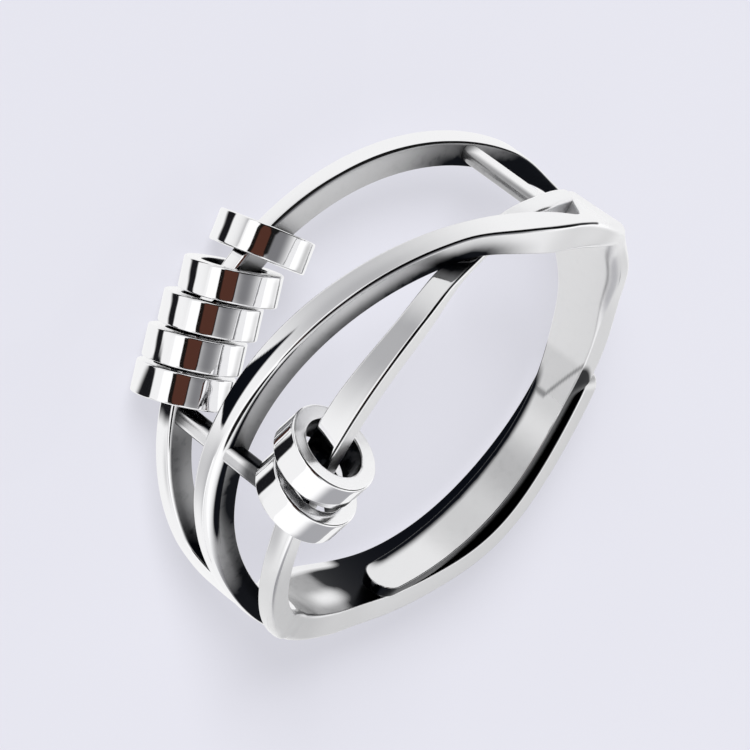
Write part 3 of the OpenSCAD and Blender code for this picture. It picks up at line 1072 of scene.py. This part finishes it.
# %% Spinners
SPINNER_T = 1.2
SPINNER_WALL = 0.62
FRONT_WIDTH = 0.995
SPINNER_PLAY = 1.0
SPINNER_BORE = math.hypot(DEPTH, FRONT_WIDTH) + SPINNER_PLAY
SPINNER_EDGE = 0.07
TURN_STEPS = 240
BORE_DARK = 0.85
RIM_MATT = 0.38


def spinner(joint):
    """The rounded section, turned round the joint's axis. A point is its radius times the
    cosine of the turn along one way across the axis, plus its radius times the sine along the
    other, plus its height along the axis."""
    axis = np.array(joint["axis"])
    middle = np.array(joint["pos_m"])
    across = np.cross(axis, (0, 0, 1.0))
    across /= np.linalg.norm(across)
    other = np.cross(axis, across)
    p, q, out, along, _, look, _ = section(5)
    u = SPINNER_EDGE + p * (SPINNER_WALL - 2 * SPINNER_EDGE) + out * SPINNER_EDGE
    v = SPINNER_EDGE + q * (SPINNER_T - 2 * SPINNER_EDGE) + along * SPINNER_EDGE
    radius = SPINNER_BORE / 2 + u
    height = v - SPINNER_T / 2
    t = np.linspace(0, 2 * math.pi, TURN_STEPS, endpoint=False)[:, None]
    points = (radius[None, :, None] * (np.cos(t)[..., None] * across + np.sin(t)[..., None] * other)
              + height[None, :, None] * axis) * MM + middle
    in_ring = (((points - hub) / MM) @ LAY_DOWN).reshape(-1, 3)
    quads, _ = outward(in_ring - in_ring.mean(0), grid_faces(TURN_STEPS, len(p), True))
    dark = np.tile(BORE_DARK * looks(IN, look), TURN_STEPS)
    rims = looks(NEAR, look, FLAT_REACH) + looks(FAR, look, FLAT_REACH)
    matt = np.tile(RIM_MATT * rims, TURN_STEPS)
    body = joint["child"]
    piece = mesh_piece(f"{body}_ring", in_ring, quads.tolist(), (dark, matt), body)
    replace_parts(piece, body)
    return piece


spinners = [spinner(joint) for joint in frame["joints"]]
print(f"{len(spinners)} spinners, {SPINNER_BORE + 2 * SPINNER_WALL:.2f} mm across")

# %% [markdown]
# ## The table and the card
#
# Polished silver is seen only by what it mirrors, so most of the work on a picture like this is
# in what stands round the ring. The table is pale, and most of its light comes from itself, as
# on a light table, which keeps the shadows faint. A card lies on it that only mirrors can see:
# its grey fields give the outer faces their shades, and a row of small black fields makes the
# dark bar that the near wire mirrors.


# %% Fields of a card or of the sky
def fields(nodes, links, base, spots, measure):
    """A chain of mixes, one for each spot. A spot's colour covers all up to its radius, with a
    soft rim. measure makes the node output that grows from 0 at the spot's middle."""
    last = None
    for place, radius, rim, colour in spots:
        reach = add(nodes, "ShaderNodeMapRange", interpolation_type="SMOOTHSTEP")
        reach.inputs["From Min"].default_value = radius + rim
        reach.inputs["From Max"].default_value = radius
        mix = add(nodes, "ShaderNodeMix", data_type="RGBA")
        mix.inputs["A"].default_value = (*base, 1)
        mix.inputs["B"].default_value = (*colour, 1)
        links.new(measure(place), reach.inputs["Value"])
        links.new(reach.outputs["Result"], mix.inputs["Factor"])
        if last:
            links.new(last, mix.inputs["A"])
        last = mix.outputs["Result"]
    return last


TABLE_SIZE = 1.2


def flat_piece(name, height):
    """A square sheet for the stage, at a height, with an empty material of its own."""
    mesh = bpy.data.meshes.new(name)
    h = TABLE_SIZE / 2
    corners = [(-h, -h, height), (h, -h, height), (h, h, height), (-h, h, height)]
    mesh.from_pydata(corners, [], [(0, 1, 2, 3)])
    material, nodes, links, shader = new_material(name)
    mesh.materials.append(material)
    piece = bpy.data.objects.new(name, mesh)
    bpy.context.scene.collection.objects.link(piece)
    return piece, nodes, links, shader


print(f"the table is {TABLE_SIZE} m across")

# %% Table
TABLE_COLOUR = (0.12, 0.12, 0.132, 1)
TABLE_CLOUD, CLOUD_SCALE = 0.97, 60.0
TABLE_ROUGHNESS = 0.8
TABLE_GLOW = (0.565, 0.565, 0.618, 1)


def table():
    """A matt surface that glows evenly, with the faintest of clouds in its colour."""
    _, nodes, links, shader = flat_piece("table", 0)
    cloud = add(nodes, "ShaderNodeTexNoise", Scale=CLOUD_SCALE, Detail=2.0)
    place = add(nodes, "ShaderNodeTexCoord")
    tint = add(nodes, "ShaderNodeMix", data_type="RGBA")
    tint.inputs["A"].default_value = TABLE_COLOUR
    tint.inputs["B"].default_value = tuple(TABLE_CLOUD * c for c in TABLE_COLOUR[:3]) + (1,)
    links.new(place.outputs["Object"], cloud.inputs["Vector"])
    links.new(cloud.outputs["Fac"], tint.inputs["Factor"])
    links.new(tint.outputs["Result"], shader.inputs["Base Color"])
    shader.inputs["Roughness"].default_value = TABLE_ROUGHNESS
    shader.inputs["Specular IOR Level"].default_value = 0.1
    shader.inputs["Emission Color"].default_value = TABLE_GLOW
    shader.inputs["Emission Strength"].default_value = 1.0


table()
print("the table glows with", TABLE_GLOW[:3])

# %% [markdown]
# Each field of the card is a circle on the table: where it is and how wide, in metres, how
# wide its soft rim is, and its colour. The card gives light but takes none, so it lights the
# ring only through what the ring mirrors.

# %% Card
BLACK = (0.01, 0.01, 0.012)
CARD_LIFT = 0.00001
CARD_BASE = (0.95, 0.95, 0.95)
CARD_SPOTS = [
    ((0.010, 0.038), 0.008, 0.020, (0.48, 0.48, 0.49)),
    ((-0.003, -0.018), 0.004, 0.009, (0.45, 0.45, 0.46)),
    ((-0.018, 0.009), 0.002, 0.006, (0.5, 0.5, 0.51)),
    ((-0.009, 0.012), 0.0024, 0.0012, BLACK),
]
CARD_SPOTS += [((x * MM, 0.0124), 0.0006, 0.0005, BLACK) for x in np.arange(-7, 2)]


def card():
    """A glowing sheet just above the table. A spot's measure is the distance from its middle."""
    piece, nodes, links, shader = flat_piece("card", CARD_LIFT)
    place = add(nodes, "ShaderNodeTexCoord")

    def measure(middle):
        """How far the surface is from a place on the card."""
        gap = add(nodes, "ShaderNodeVectorMath", operation="DISTANCE")
        links.new(place.outputs["Object"], gap.inputs[0])
        gap.inputs[1].default_value = (*middle, CARD_LIFT)
        return gap.outputs["Value"]

    glow = fields(nodes, links, CARD_BASE, CARD_SPOTS, measure)
    shader.inputs["Base Color"].default_value = (0, 0, 0, 1)
    shader.inputs["Specular IOR Level"].default_value = 0.0
    links.new(glow, shader.inputs["Emission Color"])
    shader.inputs["Emission Strength"].default_value = 1.0
    piece.visible_camera = False
    piece.visible_diffuse = False
    piece.visible_shadow = False


card()
print("fields on the card:", len(CARD_SPOTS))

# %% [markdown]
# ## The sky and the lamp
#
# The sky is a soft white studio. The dark fields in it are the camera and the warm brown
# things beside it, which draw the dark bands down the spinners, and black flags at the side,
# which give the outer faces their dark edges. Each field is a circle in the sky, placed by its
# angle from the camera toward the ring's left and by its height over the table. One soft lamp
# gives the faint shadow at the lower left. Mirrors don't see it, because a real soft light
# would be spread over the whole white studio.

# %% Sky
SKY = (1.08, 1.08, 1.08)
FLAG = (0.01, 0.01, 0.01)
SKY_SPOTS = [
    ((-45, 70), 8, 42, (0.20, 0.20, 0.21)),
    ((180, 14), 13, 12, (0.60, 0.60, 0.60)),
    ((140, 8), 18, 20, (0.40, 0.40, 0.42)),
    ((-110, 27), 20, 3, FLAG),
    ((-75, 30), 28, 3, FLAG),
    ((-35, 36), 28, 3, FLAG),
    ((62, 33), 15, 3, FLAG),
    ((14, 41), 20, 1.5, (0.01, 0.008, 0.007)),
    ((11, 44), 14, 3, (0.085, 0.032, 0.022)),
]


def sky_direction(turn, height):
    """The way to a place in the sky: the cosine of its height times the cosine and the sine of
    its turn from the camera, and the sine of its height."""
    a = math.atan2(direction(back)[1], direction(back)[0]) + math.radians(turn)
    e = math.radians(height)
    return np.array([math.cos(e) * math.cos(a), math.cos(e) * math.sin(a), math.sin(e)])


def sky():
    """The studio all round. A spot's measure is the angle from its middle, in degrees."""
    world = bpy.data.worlds.new("studio")
    bpy.context.scene.world = world
    world.use_nodes = True
    nodes, links = world.node_tree.nodes, world.node_tree.links
    place = add(nodes, "ShaderNodeTexCoord")

    def measure(middle):
        """The arc cosine of the two directions' dot product."""
        toward = add(nodes, "ShaderNodeVectorMath", operation="DOT_PRODUCT")
        toward.inputs[1].default_value = sky_direction(*middle)
        links.new(place.outputs["Generated"], toward.inputs[0])
        angle = maths(nodes, links, "ARCCOSINE", toward.outputs["Value"])
        return maths(nodes, links, "DEGREES", angle)

    glow = fields(nodes, links, SKY, SKY_SPOTS, measure)
    links.new(glow, nodes["Background"].inputs["Color"])
    nodes["Background"].inputs["Strength"].default_value = 1.0


sky()
print("fields in the sky:", len(SKY_SPOTS))

# %% Lamp
LAMP_TURN, LAMP_RISE = -21, 29
LAMP_STRENGTH = 9.0
LAMP_SPREAD = 22


def soft_lamp():
    """A far lamp, as wide as its spread in degrees."""
    lamp = bpy.data.lights.new("lamp", "SUN")
    lamp.energy = LAMP_STRENGTH
    lamp.angle = math.radians(LAMP_SPREAD)
    piece = bpy.data.objects.new("lamp", lamp)
    bpy.context.scene.collection.objects.link(piece)
    toward = Vector(sky_direction(LAMP_TURN, LAMP_RISE))
    piece.rotation_euler = toward.to_track_quat("Z", "Y").to_euler()
    piece.visible_glossy = False


soft_lamp()
bpy.context.scene.view_settings.view_transform = "Standard"
print(f"the lamp stands {LAMP_RISE} degrees high")
